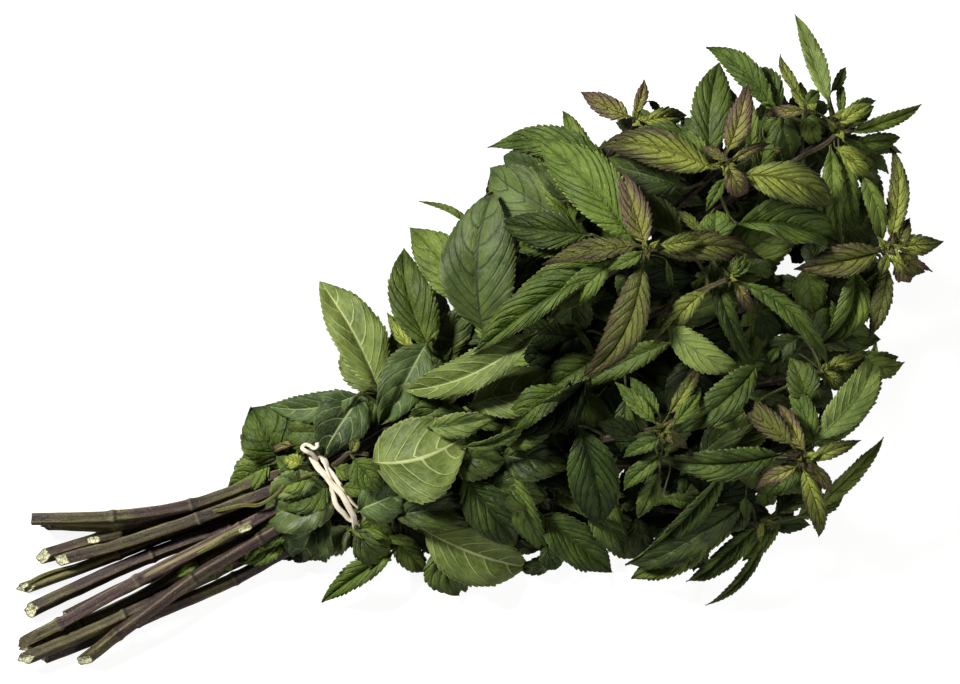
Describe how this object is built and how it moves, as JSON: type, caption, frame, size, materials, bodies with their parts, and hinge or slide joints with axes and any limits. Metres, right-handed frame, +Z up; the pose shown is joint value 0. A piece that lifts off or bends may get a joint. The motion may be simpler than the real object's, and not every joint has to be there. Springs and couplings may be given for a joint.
{
  "type": "bunch of mint",
  "caption": "Fresh mint bunch lying down: square purple-brown stems tied by a twisted cream rubber band, with toothed green leaves spreading to leafy shoot tips.",
  "frame": {"origin": "bottom centre of the bunch as it lies on a surface", "axes": "+X from the cut stem ends to the shoot tips, +Z up from the surface that it lies on"},
  "size_m": [0.3673, 0.1856, 0.0786],
  "materials": {
    "stem": "ridged square stem, purple-brown to olive, with pale green cut faces and joints",
    "leaf": "matt green upper leaf face, quilted between sunken veins, toothed edge",
    "leaf_underside": "pale grey-green lower leaf face with raised pale veins",
    "young_leaf": "yellow-green young leaf with purple-brown veins and edge",
    "rubber_band": "matt cream natural rubber"
  },
  "bodies": {
    "root": {"stem_01": "stem", "stem_02": "stem", "stem_03": "stem", "stem_04": "stem", "stem_05": "stem", "stem_06": "stem", "stem_07": "stem", "stem_08": "stem", "stem_09": "stem", "stem_10": "stem", "stem_11": "stem", "stem_12": "stem", "leaf_01": "leaf_underside", "leaf_02": "leaf", "leaf_03": "leaf", "leaf_04": "leaf_underside", "leaf_05": "leaf", "leaf_06": "leaf_underside", "leaf_07": "leaf", "leaf_08": "leaf", "leaf_09": "leaf", "leaf_10": "leaf", "leaf_11": "leaf_underside", "leaf_12": "leaf", "leaf_13": "leaf", "leaf_14": "young_leaf", "leaf_15": "leaf", "leaf_16": "leaf", "leaf_17": "leaf", "leaf_18": "leaf", "leaf_19": "leaf", "leaf_20": "leaf", "leaf_21": "young_leaf", "leaf_22": "young_leaf", "leaf_23": "leaf", "leaf_24": "young_leaf", "leaf_25": "leaf", "leaf_26": "young_leaf", "leaf_27": "leaf", "leaf_28": "leaf", "leaf_29": "leaf", "leaf_30": "young_leaf", "leaf_31": "leaf", "leaf_32": "leaf", "leaf_33": "leaf", "leaf_34": "leaf_underside", "leaf_35": "leaf", "leaf_36": "leaf", "leaf_37": "young_leaf", "leaf_38": "leaf_underside", "leaf_39": "leaf", "leaf_40": "leaf", "leaf_41": "leaf", "leaf_42": "leaf", "leaf_43": "leaf", "leaf_44": "leaf", "leaf_45": "leaf", "leaf_46": "leaf", "leaf_47": "leaf", "rubber_band": "rubber_band"}
  },
  "joints": []
}
